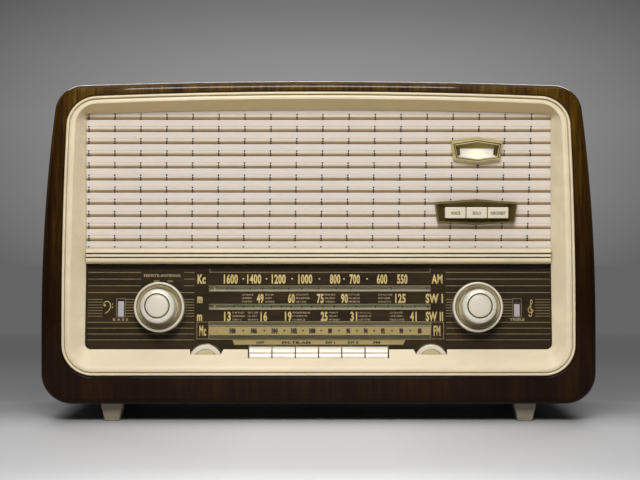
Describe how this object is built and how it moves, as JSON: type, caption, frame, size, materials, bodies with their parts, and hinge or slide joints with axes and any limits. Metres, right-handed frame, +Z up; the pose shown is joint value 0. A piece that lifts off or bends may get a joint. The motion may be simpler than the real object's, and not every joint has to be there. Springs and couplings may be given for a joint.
{
  "type": "valve table radio",
  "caption": "Mains valve table radio: rounded lacquered wood cabinet, cream moulded front, cloth grille, tilted glass dial, piano keys, ringed knobs, tone wheels and valve chassis.",
  "frame": {"origin": "on the standing surface, under the middle of the whole radio's bounding box", "axes": "+X to the right of someone facing the front, +Y to the back, +Z up; the front faces -Y"},
  "size_m": [0.56, 0.261, 0.3449],
  "materials": {
    "walnut": "dark high-gloss lacquered walnut",
    "cream": "cream, satin to gloss",
    "ivory": "ivory, gloss",
    "cloth": "woven off-white cloth with brown stripes and black stitches",
    "plywood": "raw plywood",
    "glass": "clear",
    "printed": "dark brown with gold lines",
    "brass": "satin lacquered brass",
    "steel": "plated steel",
    "aluminium": "plain",
    "iron": "dark laminated iron",
    "paper": "felted paper pulp",
    "hardboard": "brown pressed board",
    "bakelite": "dark phenolic resin",
    "ferrite": "dark grey ferrite",
    "rubber": "black rubber"
  },
  "bodies": {
    "cabinet": {"cabinet_shell": "walnut", "foot_front_left": "ivory", "foot_front_right": "ivory", "foot_rear_left": "ivory", "foot_rear_right": "ivory", "front_moulding": "cream", "divider_bar": "cream", "grille_cloth": "cloth", "baffle_board": "plywood", "eye_bezel": "brass", "register_bezel": "brass", "eye_lens": "glass", "eye_tube": "glass", "speaker_basket": "iron", "speaker_magnet": "iron", "dial_glass": "glass", "dial_backplate": "printed", "key_switch_bank": "bakelite", "chassis": "steel", "valve_fm_input": "glass", "valve_mixer": "glass", "valve_if_amplifier": "glass", "valve_detector": "glass", "valve_output": "glass", "if_transformer_can": "aluminium", "smoothing_capacitor": "aluminium", "mains_transformer": "iron", "output_transformer": "iron", "tuner_stator": "aluminium", "socket_panel": "bakelite", "back_cover": "hardboard", "back_screw_left_low": "steel", "back_screw_right_low": "steel", "back_screw_left_high": "steel", "back_screw_right_high": "steel", "mains_gland": "rubber"},
    "volume": {"volume_knob": "ivory"},
    "antenna": {"antenna_ring": "cream"},
    "ferrite_aerial": {"ferrite_rod": "ferrite"},
    "am_tuning": {"am_tuning_knob": "ivory", "am_drive_spindle": "steel"},
    "tuner": {"drive_drum": "bakelite", "tuner_rotor": "aluminium"},
    "am_marker": {"am_pointer": "brass"},
    "fm_tuning": {"fm_tuning_ring": "cream"},
    "fm_marker": {"fm_pointer": "brass"},
    "bass_tone": {"bass_wheel": "ivory"},
    "bass_flag": {"bass_indicator": "ivory"},
    "treble_tone": {"treble_wheel": "ivory"},
    "treble_flag": {"treble_indicator": "ivory"},
    "off_key": {"key_off": "ivory"},
    "phono_key": {"key_phono": "ivory"},
    "am_key": {"key_am": "ivory"},
    "sw1_key": {"key_sw1": "ivory"},
    "sw2_key": {"key_sw2": "ivory"},
    "fm_key": {"key_fm": "ivory"},
    "voice_register": {"register_button_voice": "ivory"},
    "solo_register": {"register_button_solo": "ivory"},
    "orchestra_register": {"register_button_orchestra": "ivory"},
    "cone": {"speaker_cone": "paper"}
  },
  "joints": [
    {"name": "volume_turn", "type": "hinge", "parent": "cabinet", "child": "volume", "pos_m": [-0.1605, -0.09655, 0.11577], "axis": [0, 0.9945, -0.1045], "range_deg": [-140, 140]},
    {"name": "antenna_turn", "type": "hinge", "parent": "cabinet", "child": "antenna", "pos_m": [-0.1605, -0.09655, 0.11577], "axis": [0, 0.9945, -0.1045], "range_deg": [-90, 90]},
    {"name": "ferrite_turn", "type": "hinge", "parent": "cabinet", "child": "ferrite_aerial", "pos_m": [-0.165, 0.02553, 0.0803], "axis": [0, 0, 1], "range_deg": [-90, 90]},
    {"name": "am_tuning_turn", "type": "hinge", "parent": "cabinet", "child": "am_tuning", "pos_m": [0.1605, -0.09655, 0.11577], "axis": [0, 0.9945, -0.1045], "range_deg": [0, 1800]},
    {"name": "tuner_turn", "type": "hinge", "parent": "cabinet", "child": "tuner", "pos_m": [-0.02, -0.05947, 0.108], "axis": [0, 1, 0], "range_deg": [0, 180]},
    {"name": "am_pointer_slide", "type": "slide", "parent": "cabinet", "child": "am_marker", "axis": [1, 0, 0], "range_m": [0, 0.2075]},
    {"name": "fm_tuning_turn", "type": "hinge", "parent": "cabinet", "child": "fm_tuning", "pos_m": [0.1605, -0.09655, 0.11577], "axis": [0, 0.9945, -0.1045], "range_deg": [0, 1080]},
    {"name": "fm_pointer_slide", "type": "slide", "parent": "cabinet", "child": "fm_marker", "axis": [1, 0, 0], "range_m": [0, 0.2075]},
    {"name": "bass_turn", "type": "hinge", "parent": "cabinet", "child": "bass_tone", "pos_m": [-0.1142, -0.08947, 0.0617], "axis": [0, 1, 0], "range_deg": [-150, 25]},
    {"name": "bass_flag_slide", "type": "slide", "parent": "cabinet", "child": "bass_flag", "axis": [0, 0.1045, 0.9945], "range_m": [-0.012, 0.002]},
    {"name": "treble_turn", "type": "hinge", "parent": "cabinet", "child": "treble_tone", "pos_m": [0.1142, -0.08947, 0.0617], "axis": [0, 1, 0], "range_deg": [-150, 25]},
    {"name": "treble_flag_slide", "type": "slide", "parent": "cabinet", "child": "treble_flag", "axis": [0, 0.1045, 0.9945], "range_m": [-0.012, 0.002]},
    {"name": "off_press", "type": "slide", "parent": "cabinet", "child": "off_key", "axis": [0, 0.9026, -0.4305], "range_m": [0, 0.005], "stiffness_N_per_m": 300},
    {"name": "phono_press", "type": "slide", "parent": "cabinet", "child": "phono_key", "axis": [0, 0.9026, -0.4305], "range_m": [0, 0.005], "stiffness_N_per_m": 300},
    {"name": "am_press", "type": "slide", "parent": "cabinet", "child": "am_key", "axis": [0, 0.9026, -0.4305], "range_m": [0, 0.005], "stiffness_N_per_m": 300},
    {"name": "sw1_press", "type": "slide", "parent": "cabinet", "child": "sw1_key", "axis": [0, 0.9026, -0.4305], "range_m": [0, 0.005], "stiffness_N_per_m": 300},
    {"name": "sw2_press", "type": "slide", "parent": "cabinet", "child": "sw2_key", "axis": [0, 0.9026, -0.4305], "range_m": [0, 0.005], "stiffness_N_per_m": 300},
    {"name": "fm_press", "type": "slide", "parent": "cabinet", "child": "fm_key", "axis": [0, 0.9026, -0.4305], "range_m": [0, 0.005], "stiffness_N_per_m": 300},
    {"name": "voice_press", "type": "slide", "parent": "cabinet", "child": "voice_register", "axis": [0, 1, 0], "range_m": [0, 0.004], "stiffness_N_per_m": 300},
    {"name": "solo_press", "type": "slide", "parent": "cabinet", "child": "solo_register", "axis": [0, 1, 0], "range_m": [0, 0.004], "stiffness_N_per_m": 300},
    {"name": "orchestra_press", "type": "slide", "parent": "cabinet", "child": "orchestra_register", "axis": [0, 1, 0], "range_m": [0, 0.004], "stiffness_N_per_m": 300},
    {"name": "cone_travel", "type": "slide", "parent": "cabinet", "child": "cone", "axis": [0, 1, 0], "range_m": [-0.0015, 0.0015], "stiffness_N_per_m": 1000}
  ],
  "couplings": [
    {"joint": "ferrite_turn", "follows": "antenna_turn", "ratio": 1},
    {"joint": "tuner_turn", "follows": "am_tuning_turn", "ratio": 0.1},
    {"joint": "am_pointer_slide", "follows": "am_tuning_turn", "m_per_rad": 0.0065986},
    {"joint": "fm_pointer_slide", "follows": "fm_tuning_turn", "m_per_rad": 0.010998},
    {"joint": "bass_flag_slide", "follows": "bass_turn", "m_per_rad": 0.0045},
    {"joint": "treble_flag_slide", "follows": "treble_turn", "m_per_rad": 0.0045}
  ]
}
